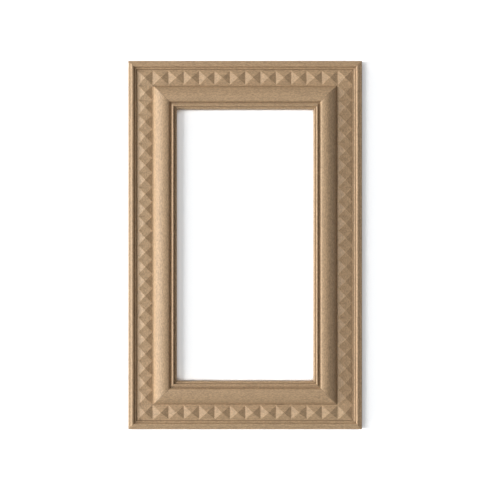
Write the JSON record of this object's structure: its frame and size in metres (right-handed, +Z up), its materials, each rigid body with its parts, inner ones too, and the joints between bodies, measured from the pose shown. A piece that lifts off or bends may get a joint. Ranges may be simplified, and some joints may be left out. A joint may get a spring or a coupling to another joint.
{
  "type": "mirror frame",
  "caption": "Tall wall mirror frame in light brown wood: mitred mouldings around a carved pyramid band, a splined core, a mirror rebate with turn buttons, and keyhole hangers set in the back.",
  "frame": {"origin": "midway between the round ends of the two keyhole hangers, on the wall plane at the frame's back", "axes": "+X to the viewer's right, +Y from the front to the wall, +Z up; the face looks to -Y"},
  "size_m": [0.6, 0.036, 0.946],
  "materials": {
    "rail_wood": "light brown wood, satin, grain across",
    "stile_wood": "light brown wood, satin, grain up and down",
    "core_wood": "plain unfinished softwood",
    "spline_wood": "plain hardwood",
    "brass": "satin",
    "steel": "zinc plated"
  },
  "bodies": {
    "frame": {"core_top": "core_wood", "core_bottom": "core_wood", "core_left": "core_wood", "core_right": "core_wood", "spline_top_left": "spline_wood", "spline_top_right": "spline_wood", "spline_bottom_left": "spline_wood", "spline_bottom_right": "spline_wood", "outer_top": "rail_wood", "outer_bottom": "rail_wood", "outer_left": "stile_wood", "outer_right": "stile_wood", "band_top": "rail_wood", "band_bottom": "rail_wood", "band_left": "stile_wood", "band_right": "stile_wood", "main_top": "rail_wood", "main_bottom": "rail_wood", "main_left": "stile_wood", "main_right": "stile_wood", "slip_top": "rail_wood", "slip_bottom": "rail_wood", "slip_left": "stile_wood", "slip_right": "stile_wood", "button_screws": "brass", "hanger_left": "steel", "hanger_right": "steel", "hanger_screws": "steel"},
    "turn_button_top_left": {"button_top_left": "brass"},
    "turn_button_top_right": {"button_top_right": "brass"},
    "turn_button_bottom_left": {"button_bottom_left": "brass"},
    "turn_button_bottom_right": {"button_bottom_right": "brass"},
    "turn_button_left_upper": {"button_left_upper": "brass"},
    "turn_button_left_middle": {"button_left_middle": "brass"},
    "turn_button_left_lower": {"button_left_lower": "brass"},
    "turn_button_right_upper": {"button_right_upper": "brass"},
    "turn_button_right_middle": {"button_right_middle": "brass"},
    "turn_button_right_lower": {"button_right_lower": "brass"}
  },
  "joints": [
    {"name": "turn_top_left", "type": "hinge", "parent": "frame", "child": "turn_button_top_left", "pos_m": [-0.09, -0.0036, 0.047], "axis": [0, -1, 0], "continuous": true},
    {"name": "turn_top_right", "type": "hinge", "parent": "frame", "child": "turn_button_top_right", "pos_m": [0.09, -0.0036, 0.047], "axis": [0, 1, 0], "continuous": true},
    {"name": "turn_bottom_left", "type": "hinge", "parent": "frame", "child": "turn_button_bottom_left", "pos_m": [-0.09, -0.0036, -0.693], "axis": [0, 1, 0], "continuous": true},
    {"name": "turn_bottom_right", "type": "hinge", "parent": "frame", "child": "turn_button_bottom_right", "pos_m": [0.09, -0.0036, -0.693], "axis": [0, -1, 0], "continuous": true},
    {"name": "turn_left_upper", "type": "hinge", "parent": "frame", "child": "turn_button_left_upper", "pos_m": [-0.197, -0.0036, -0.093], "axis": [0, 1, 0], "continuous": true},
    {"name": "turn_left_middle", "type": "hinge", "parent": "frame", "child": "turn_button_left_middle", "pos_m": [-0.197, -0.0036, -0.323], "axis": [0, 1, 0], "continuous": true},
    {"name": "turn_left_lower", "type": "hinge", "parent": "frame", "child": "turn_button_left_lower", "pos_m": [-0.197, -0.0036, -0.553], "axis": [0, 1, 0], "continuous": true},
    {"name": "turn_right_upper", "type": "hinge", "parent": "frame", "child": "turn_button_right_upper", "pos_m": [0.197, -0.0036, -0.093], "axis": [0, -1, 0], "continuous": true},
    {"name": "turn_right_middle", "type": "hinge", "parent": "frame", "child": "turn_button_right_middle", "pos_m": [0.197, -0.0036, -0.323], "axis": [0, -1, 0], "continuous": true},
    {"name": "turn_right_lower", "type": "hinge", "parent": "frame", "child": "turn_button_right_lower", "pos_m": [0.197, -0.0036, -0.553], "axis": [0, -1, 0], "continuous": true}
  ]
}
